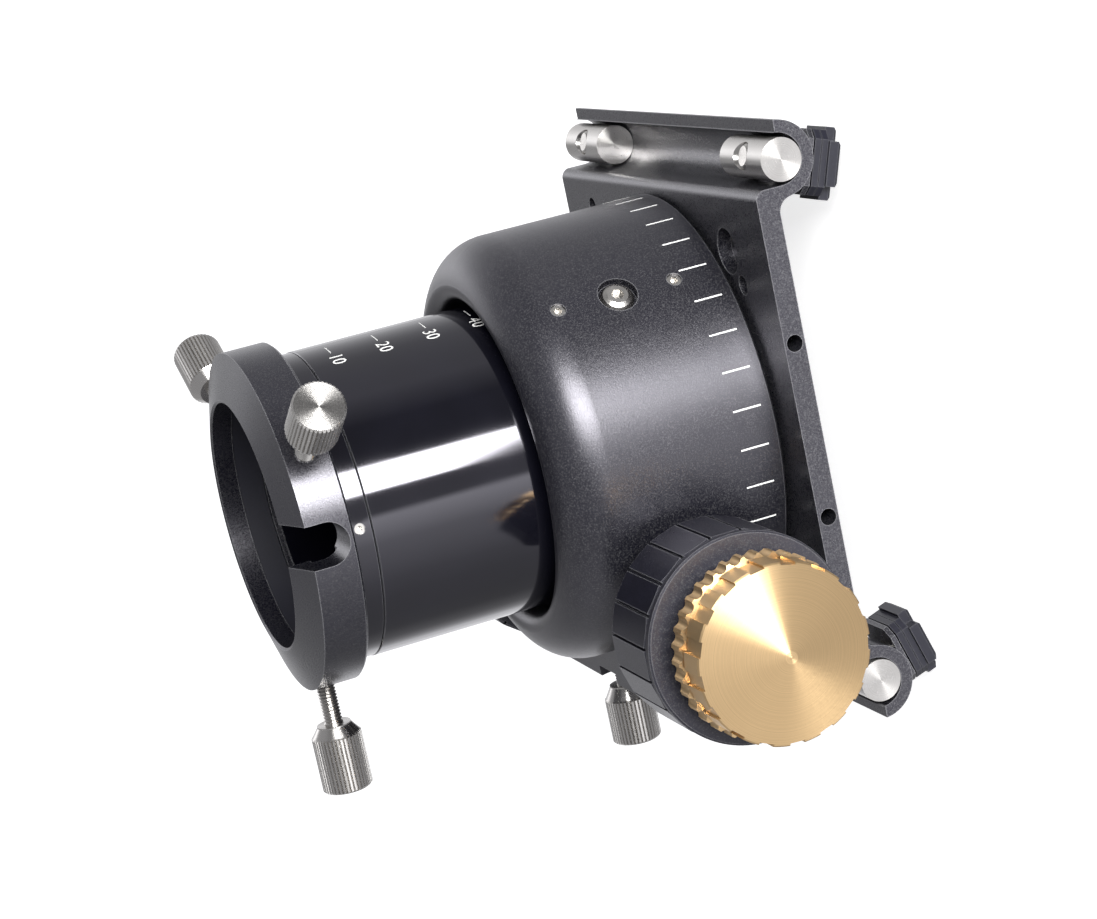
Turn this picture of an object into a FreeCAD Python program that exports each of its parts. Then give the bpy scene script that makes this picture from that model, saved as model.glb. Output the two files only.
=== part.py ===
import FreeCAD, Part
import math
import os
import sys
import Sketcher
from FreeCAD import Placement, Rotation, Vector

# Crayford focuser for a two inch eyepiece on a clamp base for a reflecting telescope's tube.
# Millimetres. +Z is the optical axis towards the eyepiece, z = 0 is the rear face of the
# base plate, X runs across the troughs of the plate, Y runs along them, the fine knob is at -Y.

os.makedirs("parts", exist_ok=True)
doc = FreeCAD.newDocument("focuser")

# ---------------------------------------------------------------- driving dimensions

SIZES = {
    # base plate: an extrusion along Y with a U trough at each X side
    "plate_half_y": 54.5,
    "plate_thick": 4.4,
    "plate_bore_r": 34.0,
    "trough_x": 52.85,
    "trough_z": -1.45,
    "trough_in_r": 5.1,
    "trough_out_r": 7.55,
    "lip_z": -2.0,
    "plate_front_round": 2.0,
    "plate_rear_round": 3.0,
    "edge_hole_x": 17.5,
    "edge_hole_z": 2.2,
    "edge_hole_r": 1.65,
    "edge_hole_deep": 12.0,
    "bolt_hole_x": 35.0,
    "bolt_hole_y": 35.0,
    "bolt_hole_r": 2.25,
    "bolt_seat_r": 4.7,
    "bolt_seat_z": 1.4,
    "pilot_a_x": 28.4,
    "pilot_a_y": -39.7,
    "pilot_b_x": 40.2,
    "pilot_b_y": 38.1,
    "pilot_r": 2.0,
    "screw_slot_half": 2.9,
    "screw_slot_y": 44.5,
    # turning flange
    "flange_out_r": 40.5,
    "flange_top_z": 11.9,
    "flange_screw_pitch_r": 37.2,
    "flange_groove_r": 39.6,
    "flange_groove_z": 9.0,
    "flange_groove_half": 1.1,
    "m3_r": 1.5,
    "m3_head_r": 2.75,
    # housing
    "housing_r": 45.0,
    "housing_rear_z": 5.0,
    "housing_front_z": 51.75,
    "housing_round": 11.0,
    "housing_lip_round": 2.7,
    "housing_bore_r": 33.5,
    "recess_r": 40.56,
    "recess_top_z": 12.4,
    # drawtube
    "tube_r": 31.85,
    "tube_bore_r": 27.0,
    "tube_rear_z": 6.0,
    "tube_front_z": 86.0,
    "tube_counterbore_r": 28.95,
    "tube_counterbore_z": 79.9,
    "tube_flat_x": 30.6,
    "tube_flat_end_z": 76.0,
    "track_slot_x": 29.75,
    "track_face_x": 30.75,
    "track_half_y": 4.0,
    "track_low_z": 10.0,
    "track_high_z": 74.0,
    # drive
    "axle_x": 32.8,
    "axle_z": 27.5,
    "axle_r": 2.0,
    "axle_bush_r": 3.5,
    "bush_bore_r": 2.04,
    "ear_inner_y": 32.0,
    "ear_outer_y": 42.0,
    "block_face_x": 53.0,
    "block_low_z": 19.5,
    "block_high_z": 35.5,
    "coarse_r": 20.9,
    "coarse_flat": 20.62,
    "coarse_near": 46.6,
    "coarse_far": 64.3,
    "disc_r": 20.75,
    "disc_far": 66.5,
    "reducer_hub_r": 12.0,
    "reducer_hub_far": 70.3,
    "fine_r": 17.45,
    "fine_teeth_r": 18.1,
    "fine_near": 70.6,
    "fine_step": 75.6,
    "fine_rim": 82.4,
    "fine_apex": 85.4,
    # lock and tension
    "lock_z": 32.0,
    "tension_z": 23.0,
    "m4_r": 2.0,
    "m4_hole_r": 2.04,
    # bearing carriages
    "carriage_in": 34.6,
    "carriage_out": 41.0,
    "carriage_half": 5.0,
    "carriage_low_z": 12.8,
    "carriage_high_z": 43.2,
    "bearing_line_r": 35.9,
    "bearing_out_r": 4.0,
    "bearing_bore_r": 1.54,
    "bearing_half": 2.0,
    "bearing_rear_z": 16.9,
    "bearing_front_z": 38.1,
    # adapter band and eyepiece clamp
    "band_r": 31.7,
    "band_low_z": 86.0,
    "clamp_low_z": 90.5,
    "clamp_edge_z": 99.7,
    "clamp_top_z": 102.5,
    "clamp_r": 35.1,
    "clamp_rim_r": 26.0,
    "eyepiece_bore_r": 25.5,
    "spigot_r": 29.0,
    "ring_groove_r": 27.4,
    "ring_low_z": 92.4,
    "ring_high_z": 98.2,
    "notch_half": 4.35,
    "eyepiece_screw_z": 95.3,
    # thumbscrew, measured along its own axis from the optical axis at rest
    "thumb_tip": 32.4,
    "thumb_thread": 35.6,
    "thumb_neck": 44.3,
    "thumb_shoulder": 46.4,
    "thumb_end": 58.2,
    "thumb_r": 5.2,
    "thumb_neck_r": 3.55,
    # clamp rods and their screws
    "rod_x": 52.62,
    "rod_z": -2.21,
    "rod_r": 4.25,
    "rod_length": 20.0,
    "rod_tilt": 18.0,
    "rod_hole_r": 2.5,
    "clamp_screw_r": 2.45,
}

sheet = doc.addObject("Spreadsheet::Sheet", "Sizes")
for line, word in enumerate(SIZES, start=1):
    sheet.set("A%d" % line, word)
    sheet.set("B%d" % line, repr(SIZES[word]))
    sheet.setAlias("B%d" % line, word)
doc.recompute()

nodes = []


def value(terms):
    """The number that a sum such as 'tube_r -0.5' stands for."""
    total = 0.0
    for term in terms.split():
        word = term.lstrip("-")
        number = SIZES[word] if word in SIZES else float(word)
        total += -number if term.startswith("-") else number
    return total


def formula(terms):
    """The same sum as an expression on the sheet."""
    pieces = []
    for term in terms.split():
        word = term.lstrip("-")
        pieces.append("-" if term.startswith("-") else "+")
        pieces.append("Sizes." + word if word in SIZES else word)
    return " ".join(pieces).lstrip("+ ")


def keep(thing, label):
    """Name a finished sub-part, to be written at the end."""
    thing.Label = label
    nodes.append(thing)
    return thing


# ---------------------------------------------------------------- sketches and features


def plane(body, role):
    for feature in body.Origin.OriginFeatures:
        if feature.Role == role:
            return feature
    raise ValueError(role)


def sketch_on(body, role, name, away="0"):
    """A sketch on an origin plane of the body, lifted along the plane's normal."""
    sketch = body.newObject("Sketcher::SketchObject", name)
    sketch.AttachmentSupport = [(plane(body, role), "")]
    sketch.MapMode = "FlatFace"
    if away != "0":
        sketch.setExpression("AttachmentOffset.Base.z", formula(away))
    return sketch


def turn_sketch(sketch, degrees):
    """Turn a sketch on YZ about the Z axis, so that its normal points at that azimuth."""
    sketch.AttachmentOffset = Placement(Vector(0, 0, 0), Rotation(Vector(0, 1, 0), degrees))


def pin(sketch, item, end, across, up):
    """Hold a point at its distances from the sketch's origin."""
    for way, terms, axis in (("DistanceX", across, -2), ("DistanceY", up, -1)):
        if terms == "0":
            sketch.addConstraint(Sketcher.Constraint("PointOnObject", item, end, axis))
        else:
            rule = Sketcher.Constraint(way, -1, 1, item, end, value(terms))
            spot = sketch.addConstraint(rule)
            sketch.setExpression("Constraints[%d]" % spot, formula(terms))


def trace(sketch, corners):
    """A closed outline through the corners, each a pair of sums."""
    first = sketch.GeometryCount
    points = [Vector(value(across), value(up), 0) for across, up in corners]
    count = len(points)
    for i in range(count):
        sketch.addGeometry(Part.LineSegment(points[i], points[(i + 1) % count]), False)
    for i in range(count):
        here, after = first + i, first + (i + 1) % count
        sketch.addConstraint(Sketcher.Constraint("Coincident", here, 2, after, 1))
    for i, (across, up) in enumerate(corners):
        pin(sketch, first + i, 1, across, up)


def ring(sketch, across, up, radius):
    """A circle held by its centre and radius."""
    middle = Vector(value(across), value(up), 0)
    item = sketch.addGeometry(Part.Circle(middle, Vector(0, 0, 1), value(radius)), False)
    spot = sketch.addConstraint(Sketcher.Constraint("Radius", item, value(radius)))
    sketch.setExpression("Constraints[%d]" % spot, formula(radius))
    pin(sketch, item, 3, across, up)


def new_body(name):
    return doc.addObject("PartDesign::Body", name)


def revolve(body, sketch, name="turning"):
    feature = body.newObject("PartDesign::Revolution", name)
    feature.Profile = sketch
    feature.ReferenceAxis = (sketch, ["V_Axis"])
    feature.Angle = 360
    sketch.Visibility = False
    doc.recompute()
    return feature


def turned(name, corners):
    """A body turned about its own Z from an outline of (radius, height) corners."""
    body = new_body(name)
    sketch = sketch_on(body, "XZ_Plane", name + "_profile")
    trace(sketch, corners)
    revolve(body, sketch, name + "_turning")
    return body


def pad(body, sketch, length, midplane=False):
    feature = body.newObject("PartDesign::Pad", "pad")
    feature.Profile = sketch
    feature.setExpression("Length", formula(length))
    if midplane:
        feature.SideType = "Symmetric"
    doc.recompute()
    return feature


def pocket(body, sketch, length, midplane=False, reverse=False):
    """Cut the sketch out of the body, and stop if that removed nothing."""
    before = body.Shape.Volume
    feature = body.newObject("PartDesign::Pocket", "pocket")
    feature.Profile = sketch
    feature.setExpression("Length", formula(length))
    if midplane:
        feature.SideType = "Symmetric"
    feature.Reversed = reverse
    doc.recompute()
    if body.Shape.Volume > before - 1e-3:
        raise ValueError("pocket in %s removed nothing" % body.Name)
    return feature


def repeat(body, features, count, angle=360):
    """Repeat features about the body's Z axis."""
    pattern = body.newObject("PartDesign::PolarPattern", "repeat")
    pattern.Originals = features
    pattern.Axis = (plane(body, "Z_Axis"), [""])
    pattern.Angle = angle
    pattern.Occurrences = count
    body.Tip = pattern
    doc.recompute()
    return pattern


def soften(body, radius, test, kind="PartDesign::Fillet"):
    """Round or chamfer the edges of the body's last feature that pass a test."""
    last = body.Tip
    names = []
    for number, edge in enumerate(last.Shape.Edges, start=1):
        if test(edge):
            names.append("Edge%d" % number)
    if not names:
        raise ValueError("no edge to soften in " + body.Name)
    feature = body.newObject(kind, "soften")
    feature.Base = (last, names)
    word = "Radius" if kind.endswith("Fillet") else "Size"
    feature.setExpression(word, formula(radius))
    doc.recompute()
    return feature


def circle_at(radius, height):
    """A test for a whole circle about Z of that radius at that height."""

    def test(edge):
        curve = edge.Curve
        if not isinstance(curve, Part.Circle) or abs(curve.Radius - radius) > 1e-4:
            return False
        middle = curve.Center
        return abs(middle.z - height) < 1e-4 and math.hypot(middle.x, middle.y) < 1e-4

    return test


# ---------------------------------------------------------------- primitives and booleans


def box(name, low, high):
    """A box between two corners, each three sums."""
    solid = doc.addObject("Part::Box", name)
    for side, axis, bottom, top in zip(("Length", "Width", "Height"), "xyz", low, high):
        solid.setExpression(side, "%s - (%s)" % (formula(top), formula(bottom)))
        solid.setExpression("Placement.Base." + axis, formula(bottom))
    return solid


TURNS = {
    "x": Rotation(Vector(0, 1, 0), 90),
    "y": Rotation(Vector(1, 0, 0), -90),
    "z": Rotation(),
}


def rod(name, way, radius, start, length):
    """A cylinder along x, y or z from a start point of three sums."""
    solid = doc.addObject("Part::Cylinder", name)
    solid.Placement = Placement(Vector(*[value(s) for s in start]), TURNS[way])
    for axis, terms in zip("xyz", start):
        solid.setExpression("Placement.Base." + axis, formula(terms))
    solid.setExpression("Radius", formula(radius))
    solid.setExpression("Height", formula(length))
    return solid


def hexagon(name, way, radius, start, length):
    """A six sided socket along x, y or z."""
    solid = doc.addObject("Part::Prism", name)
    solid.Placement = Placement(Vector(*[value(s) for s in start]), TURNS[way])
    for axis, terms in zip("xyz", start):
        solid.setExpression("Placement.Base." + axis, formula(terms))
    solid.Polygon = 6
    solid.setExpression("Circumradius", formula(radius))
    solid.setExpression("Height", formula(length))
    return solid


def fuse(name, parts):
    whole = doc.addObject("Part::MultiFuse", name)
    whole.Shapes = parts
    whole.Refine = True
    doc.recompute()
    return whole


def cut(name, base, tools):
    result = doc.addObject("Part::Cut", name)
    result.Base = base
    result.Tool = tools[0] if len(tools) == 1 else fuse(name + "_tools", tools)
    doc.recompute()
    return result


def group(name, parts):
    """Identical loose pieces kept together as one sub-part."""
    compound = doc.addObject("Part::Compound", name)
    compound.Links = parts
    doc.recompute()
    return compound


def at_azimuth(thing, degrees):
    thing.Placement = Placement(Vector(0, 0, 0), Rotation(Vector(0, 0, 1), degrees))
    return thing


def socket_screw(name, head_r, head_length, shank_r, shank_length, hex_r):
    """A screw along its own Z: the head's top at z = 0, the shank below it."""
    head = rod(name + "_head", "z", head_r, ("0", "0", "-" + head_length), head_length)
    foot = "-%s -%s" % (head_length, shank_length)
    shank = rod(name + "_shank", "z", shank_r, ("0", "0", foot), shank_length + " 0.1")
    whole = fuse(name + "_solid", [head, shank])
    socket = hexagon(name + "_hex", "z", hex_r, ("0", "0", "-1.2"), "1.3")
    return cut(name, whole, [socket])


def set_screw(name, radius, length, hex_r):
    """A headless screw along its own Z with its top at z = 0."""
    shank = rod(name + "_shank", "z", radius, ("0", "0", "-" + length), length)
    socket = hexagon(name + "_hex", "z", hex_r, ("0", "0", "-1.4"), "1.5")
    return cut(name, shank, [socket])


def aim(thing, base, direction):
    """Put a part made along its own Z at a point, along a direction."""
    thing.Placement = Placement(Vector(*base), Rotation(Vector(0, 0, 1), Vector(*direction)))
    return thing


def outward(azimuth, radius, height):
    """A point on a cylinder about the optical axis, and its outward direction."""
    across, along = math.cos(math.radians(azimuth)), math.sin(math.radians(azimuth))
    return (radius * across, radius * along, height), (across, along, 0)


# ---------------------------------------------------------------- base plate

plate = new_body("base_plate")
slab = sketch_on(plate, "XZ_Plane", "slab_profile")
trace(
    slab,
    [
        ("-trough_x", "0"),
        ("trough_x", "0"),
        ("trough_x", "plate_thick"),
        ("-trough_x", "plate_thick"),
    ],
)
pad(plate, slab, "plate_half_y plate_half_y", midplane=True)
troughs = sketch_on(plate, "XZ_Plane", "trough_profile")
for side in ("", "-"):
    ring(troughs, side + "trough_x", "trough_z", "trough_out_r")
pad(plate, troughs, "plate_half_y plate_half_y", midplane=True)
channel = sketch_on(plate, "XZ_Plane", "channel_profile")
for side in ("", "-"):
    ring(channel, side + "trough_x", "trough_z", "trough_in_r")
pocket(plate, channel, "plate_half_y plate_half_y 2", midplane=True)
for side, opposite in (("", "-"), ("-", "")):
    opening = sketch_on(plate, "XZ_Plane", "opening_profile")
    near = side + "trough_x " + opposite + "trough_in_r"
    far = side + "trough_x " + side + "trough_in_r"
    beyond = side + "trough_x " + side + "9"
    trace(
        opening,
        [
            (near, "trough_z"),
            (far, "trough_z"),
            (far, "lip_z"),
            (beyond, "lip_z"),
            (beyond, "plate_thick 3"),
            (near, "plate_thick 3"),
        ],
    )
    pocket(plate, opening, "plate_half_y plate_half_y 2", midplane=True)


def long_edge_at(across, up):
    """A test for a straight edge along Y at either side of the plate."""

    def test(edge):
        if not isinstance(edge.Curve, Part.Line) or edge.Length < 50:
            return False
        middle = edge.CenterOfMass
        return abs(abs(middle.x) - across) < 0.02 and abs(middle.z - up) < 0.02

    return test


wall_x = value("trough_x -trough_in_r")
rear_x = value("trough_x") - math.sqrt(value("trough_out_r") ** 2 - value("trough_z") ** 2)
soften(plate, "plate_front_round", long_edge_at(wall_x, value("plate_thick")))
soften(plate, "plate_rear_round", long_edge_at(rear_x, 0))

bore = sketch_on(plate, "XY_Plane", "bore_profile")
ring(bore, "0", "0", "plate_bore_r")
for across in ("bolt_hole_x", "-bolt_hole_x"):
    for along in ("bolt_hole_y", "-bolt_hole_y"):
        ring(bore, across, along, "bolt_hole_r")
ring(bore, "pilot_a_x", "pilot_a_y", "pilot_r")
ring(bore, "-pilot_a_x", "-pilot_a_y", "pilot_r")
ring(bore, "pilot_b_x", "pilot_b_y", "pilot_r")
ring(bore, "-pilot_b_x", "-pilot_b_y", "pilot_r")
pocket(plate, bore, "plate_thick 1", reverse=True)
seats = sketch_on(plate, "XY_Plane", "bolt_seats", "bolt_seat_z")
for across in ("bolt_hole_x", "-bolt_hole_x"):
    for along in ("bolt_hole_y", "-bolt_hole_y"):
        ring(seats, across, along, "bolt_seat_r")
pocket(plate, seats, "plate_thick", reverse=True)

for end, inward in (("plate_half_y", False), ("-plate_half_y", True)):
    edge_holes = sketch_on(plate, "XZ_Plane", "edge_holes", end)
    for across in ("edge_hole_x", "-edge_hole_x"):
        ring(edge_holes, across, "edge_hole_z", "edge_hole_r")
    pocket(plate, edge_holes, "edge_hole_deep", reverse=inward)

for along in ("screw_slot_y", "-screw_slot_y"):
    for side in ("", "-"):
        slot = sketch_on(plate, "XY_Plane", "screw_slot", "rod_z")
        inner = side + "rod_x " + ("-9" if side == "" else "9")
        outer = side + "rod_x " + ("2.9" if side == "" else "-2.9")
        trace(
            slot,
            [
                (inner, along + " -screw_slot_half"),
                (outer, along + " -screw_slot_half"),
                (outer, along + " screw_slot_half"),
                (inner, along + " screw_slot_half"),
            ],
        )
        pocket(plate, slot, "9")

keep(plate, "base_plate")

# ---------------------------------------------------------------- turning flange

flange = turned(
    "rotation_flange",
    [
        ("plate_bore_r", "plate_thick"),
        ("flange_out_r", "plate_thick"),
        ("flange_out_r", "flange_groove_z -flange_groove_half"),
        ("flange_groove_r", "flange_groove_z"),
        ("flange_out_r", "flange_groove_z flange_groove_half"),
        ("flange_out_r", "flange_top_z -0.4"),
        ("flange_out_r -0.4", "flange_top_z"),
        ("plate_bore_r 0.4", "flange_top_z"),
        ("plate_bore_r", "flange_top_z -0.4"),
    ],
)
tapped = sketch_on(flange, "XY_Plane", "tapped_hole", "plate_thick")
ring(tapped, "flange_screw_pitch_r", "0", "m3_r")
tapping = pocket(flange, tapped, "6", reverse=True)
repeat(flange, [tapping], 4)
keep(flange, "rotation_flange")

through = sketch_on(plate, "XY_Plane", "flange_screw_holes")
ring(through, "flange_screw_pitch_r", "0", "m3_r 0.1")
first_hole = pocket(plate, through, "plate_thick 1", reverse=True)
sunk = sketch_on(plate, "XY_Plane", "flange_screw_heads")
ring(sunk, "flange_screw_pitch_r", "0", "m3_head_r 0.15")
first_seat = pocket(plate, sunk, "2.0", reverse=True)
repeat(plate, [first_hole, first_seat], 4)

screws = []
for number in range(4):
    angle = math.radians(90 * number)
    reach = value("flange_screw_pitch_r")
    screw = socket_screw("flange_screw_%d" % number, "m3_head_r", "1.8", "m3_r -0.01", "7", "1.2")
    aim(screw, (reach * math.cos(angle), reach * math.sin(angle), 0.2), (0, 0, -1))
    screws.append(screw)
keep(group("flange_screws", screws), "flange_screws")

# ---------------------------------------------------------------- housing

housing = turned(
    "body_housing",
    [
        ("recess_r", "housing_rear_z"),
        ("housing_r -0.5", "housing_rear_z"),
        ("housing_r", "housing_rear_z 0.5"),
        ("housing_r", "housing_front_z"),
        ("housing_bore_r", "housing_front_z"),
        ("housing_bore_r", "recess_top_z"),
        ("recess_r", "recess_top_z"),
    ],
)
top = value("housing_front_z")
soften(housing, "housing_round", circle_at(value("housing_r"), top))
soften(housing, "housing_lip_round", circle_at(value("housing_bore_r"), top))


def radial_hole(body, name, azimuth, start, height, radius, length):
    """A round hole along a radius, from a distance outwards."""
    sketch = sketch_on(body, "YZ_Plane", name)
    turn_sketch(sketch, azimuth)
    for axis, way in (("x", "sin"), ("z", "cos")):
        shift = "(%s) * %s(%g deg)" % (formula(start), way, azimuth)
        sketch.setExpression("AttachmentOffset.Base." + axis, shift)
    ring(sketch, "0", height, radius)
    return pocket(body, sketch, length, reverse=True)


for azimuth in (-45, 45):
    seat = sketch_on(housing, "YZ_Plane", "carriage_seat")
    turn_sketch(seat, azimuth)
    for axis, way in (("x", "sin"), ("z", "cos")):
        shift = "Sizes.tube_bore_r * %s(%g deg)" % (way, azimuth)
        seat.setExpression("AttachmentOffset.Base." + axis, shift)
    trace(
        seat,
        [
            ("-carriage_half -0.2", "recess_top_z -1"),
            ("carriage_half 0.2", "recess_top_z -1"),
            ("carriage_half 0.2", "carriage_high_z 0.3"),
            ("-carriage_half -0.2", "carriage_high_z 0.3"),
        ],
    )
    pocket(housing, seat, "carriage_out -tube_bore_r 0.05", reverse=True)
    radial_hole(housing, "screw_hole", azimuth, "carriage_out -1", "axle_z", "m4_r 0.1", "8")
    radial_hole(housing, "head_seat", azimuth, "housing_r -2", "axle_z", "4.0", "8")
    for height in ("15.35", "40.2"):
        radial_hole(housing, "set_hole", azimuth, "carriage_out -1", height, "m3_r 0.02", "8")

for azimuth in (10, 190):
    radial_hole(housing, "lock_hole", azimuth, "flange_groove_r", "flange_groove_z", "m3_r 0.02", "9")

window = sketch_on(housing, "YZ_Plane", "drive_window")
trace(
    window,
    [
        ("-8.0", "20.6"),
        ("8.0", "20.6"),
        ("8.0", "34.4"),
        ("-8.0", "34.4"),
    ],
)
pocket(housing, window, "housing_r 1", reverse=False)
crossing = sketch_on(housing, "XZ_Plane", "axle_crossing")
ring(crossing, "-axle_x", "axle_z", "axle_bush_r 0.05")
pocket(housing, crossing, "housing_r housing_r", midplane=True)
for along in ("14.0", "-14.0"):
    fixing = sketch_on(housing, "YZ_Plane", "block_fixing", "-36.5")
    ring(fixing, along, "axle_z", "m4_r")
    pocket(housing, fixing, "10")
keep(housing, "body_housing")

lock_screws = []
for number, azimuth in enumerate((10, 190)):
    screw = set_screw("flange_lock_%d" % number, "m3_r", "4.05", "0.8")
    base, direction = outward(azimuth, 44.6, value("flange_groove_z"))
    lock_screws.append(aim(screw, base, direction))
keep(group("flange_lock_screws", lock_screws), "flange_lock_screws")

# ---------------------------------------------------------------- drive block

block_box = box(
    "block_box",
    ("-block_face_x", "-ear_outer_y", "block_low_z"),
    ("-axle_x axle_bush_r 2.2", "ear_outer_y", "block_high_z"),
)
saddle = rod("block_saddle", "z", "housing_r 0.02", ("0", "0", "block_low_z -1"), "20")
bush_start = ("-axle_x", "-ear_outer_y -1", "axle_z")
bush_hole = rod("bush_hole", "y", "axle_bush_r", bush_start, "ear_outer_y ear_outer_y 2")
lock_hole = rod("lock_hole", "x", "m4_hole_r", ("-block_face_x -1", "0", "lock_z"), "18")
tension_hole = rod("tension_hole", "x", "m4_r", ("-block_face_x -1", "0", "tension_z"), "18")
lock_recess = rod("lock_recess", "x", "6.0", ("-block_face_x -1", "0", "lock_z"), "3.5")
screw_holes = []
for number, along in enumerate(("14.0", "-14.0")):
    start = ("-block_face_x -1", along, "axle_z")
    screw_holes.append(rod("fixing_hole_%d" % number, "x", "m4_r 0.1", start, "18"))
    screw_holes.append(rod("fixing_seat_%d" % number, "x", "3.7", start, "5.2"))
block = cut(
    "drive_block_raw",
    block_box,
    [saddle, bush_hole, lock_hole, tension_hole, lock_recess] + screw_holes,
)
rounded = doc.addObject("Part::Fillet", "drive_block")
rounded.Base = block
corners = []
for number, edge in enumerate(block.Shape.Edges, start=1):
    middle = edge.CenterOfMass
    on_face = abs(middle.x + value("block_face_x")) < 0.01
    if on_face and edge.Length > 10 and isinstance(edge.Curve, Part.Line):
        corners.append((number, 0.5, 0.5))
rounded.Edges = corners
doc.recompute()
keep(rounded, "drive_block")

fixings = []
for number, along in enumerate((14.0, -14.0)):
    screw = socket_screw("block_screw_%d" % number, "3.5", "4", "m4_r -0.01", "11", "1.7")
    base = (-value("block_face_x") + 0.2, along, value("axle_z"))
    fixings.append(aim(screw, base, (-1, 0, 0)))
keep(group("block_screws", fixings), "block_screws")

bushes = []
for number, start in enumerate(("ear_inner_y", "-ear_outer_y")):
    sleeve = rod("bush_%d" % number, "y", "axle_bush_r", ("-axle_x", start, "axle_z"), "10")
    bore_start = ("-axle_x", start + " -1", "axle_z")
    hole = rod("bush_bore_%d" % number, "y", "bush_bore_r", bore_start, "12")
    bushes.append(cut("bush_%d_cut" % number, sleeve, [hole]))
keep(group("axle_bushes", bushes), "axle_bushes")

plate_body = box(
    "pressure_box",
    ("-axle_x -axle_r -4.0", "-7.0", "21.4"),
    ("-axle_x -0.6", "7.0", "33.6"),
)
cradle = rod("pressure_groove", "y", "axle_r 0.04", ("-axle_x", "-8.0", "axle_z"), "16")
keep(cut("pressure_plate", plate_body, [cradle]), "pressure_plate")

tension = set_screw("tension_screw_solid", "m4_r", "13.6", "1.2")
plate_back = value("axle_x axle_r 4.0")
aim(tension, (-plate_back - 13.7, 0, value("tension_z")), (-1, 0, 0))
keep(tension, "tension_set_screw")

# ---------------------------------------------------------------- thumbscrews


def thumbscrew(name, tip, thread, neck, shoulder, end):
    """A straight knurled screw along its own Z, from its tip to the end of its head.
    Its thread is drawn as plain rings, from the sum thread up to the head."""
    corners = [
        ("0", tip),
        ("m4_r -0.5", tip),
        ("m4_r", tip + " 0.5"),
    ]
    turns = int((value(neck) - value(thread)) / THREAD_PITCH)
    for turn in range(turns):
        crest = THREAD_PITCH * turn
        corners.append(("m4_r", thread + " %g" % crest))
        corners.append(("m4_r -0.35", thread + " %g" % (crest + THREAD_PITCH / 2)))
    corners += [
        ("m4_r", thread + " %g" % (THREAD_PITCH * turns)),
        ("m4_r", neck),
        ("thumb_neck_r", neck),
        ("thumb_neck_r", neck + " 0.25"),
        ("thumb_r -0.3", shoulder),
        ("thumb_r", shoulder + " 0.3"),
        ("thumb_r", end + " -0.4"),
        ("thumb_r -0.4", end),
        ("0", end),
    ]
    body = turned(name, corners)
    tooth = sketch_on(body, "XY_Plane", "knurl", end)
    trace(
        tooth,
        [
            ("thumb_r -0.38", "0"),
            ("thumb_r 0.4", "-0.42"),
            ("thumb_r 0.4", "0.42"),
        ],
    )
    valley = pocket(body, tooth, end + " -" + shoulder)
    repeat(body, [valley], 40)
    return body


THREAD_PITCH = 0.7
for name, azimuth in (
    ("eyepiece_screw_front", -60),
    ("eyepiece_screw_upper", 60),
    ("eyepiece_screw_lower", 180),
):
    screw = thumbscrew(
        name, "thumb_tip", "thumb_thread", "thumb_neck", "thumb_shoulder", "thumb_end"
    )
    aim(screw, (0, 0, value("eyepiece_screw_z")), outward(azimuth, 1, 0)[1])
    keep(screw, name)

lock = thumbscrew("lock_thumbscrew", "39.6", "51.8", "54.4", "57.0", "66.8")
aim(lock, (0, 0, value("lock_z")), (-1, 0, 0))
keep(lock, "lock_thumbscrew")

# ---------------------------------------------------------------- bearing carriages

for name, azimuth in (("bearing_carriage_front", -45), ("bearing_carriage_back", 45)):
    bar = box(
        name + "_bar",
        ("carriage_in", "-carriage_half", "carriage_low_z"),
        ("carriage_out", "carriage_half", "carriage_high_z"),
    )
    tools = [rod(name + "_tapped", "x", "m4_r", ("carriage_in -1", "0", "axle_z"), "9")]
    for height in ("bearing_rear_z", "bearing_front_z"):
        tools.append(
            box(
                name + "_window_" + height,
                ("carriage_in -1", "-bearing_half -0.2", height + " -4.4"),
                ("carriage_out 1", "bearing_half 0.2", height + " 4.4"),
            )
        )
        start = ("bearing_line_r", "-carriage_half -1", height)
        length = "carriage_half carriage_half 2"
        tools.append(rod(name + "_pin_hole_" + height, "y", "m3_r", start, length))
    keep(at_azimuth(cut(name, bar, tools), azimuth), name)

pins = []
for azimuth in (-45, 45):
    for height in ("bearing_rear_z", "bearing_front_z"):
        length = "carriage_half carriage_half -0.4"
        shape = rod("pin", "z", "m3_r", ("0", "0", "-carriage_half 0.2"), length)
        holder = group("pin_holder", [shape])
        base, radial = outward(azimuth, value("bearing_line_r"), value(height))
        pins.append(aim(holder, base, (-radial[1], radial[0], 0)))
keep(group("bearing_pins", pins), "bearing_pins")

for name, azimuth, height in (
    ("bearing_front_rear", -45, "bearing_rear_z"),
    ("bearing_front_fore", -45, "bearing_front_z"),
    ("bearing_back_rear", 45, "bearing_rear_z"),
    ("bearing_back_fore", 45, "bearing_front_z"),
):
    race = turned(
        name,
        [
            ("bearing_bore_r", "-bearing_half"),
            ("2.2", "-bearing_half"),
            ("2.35", "-bearing_half 0.25"),
            ("3.25", "-bearing_half 0.25"),
            ("3.4", "-bearing_half"),
            ("bearing_out_r -0.2", "-bearing_half"),
            ("bearing_out_r", "-bearing_half 0.2"),
            ("bearing_out_r", "bearing_half -0.2"),
            ("bearing_out_r -0.2", "bearing_half"),
            ("3.4", "bearing_half"),
            ("3.25", "bearing_half -0.25"),
            ("2.35", "bearing_half -0.25"),
            ("2.2", "bearing_half"),
            ("bearing_bore_r", "bearing_half"),
        ],
    )
    base, radial = outward(azimuth, value("bearing_line_r"), value(height))
    keep(aim(race, base, (-radial[1], radial[0], 0)), name)

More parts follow.
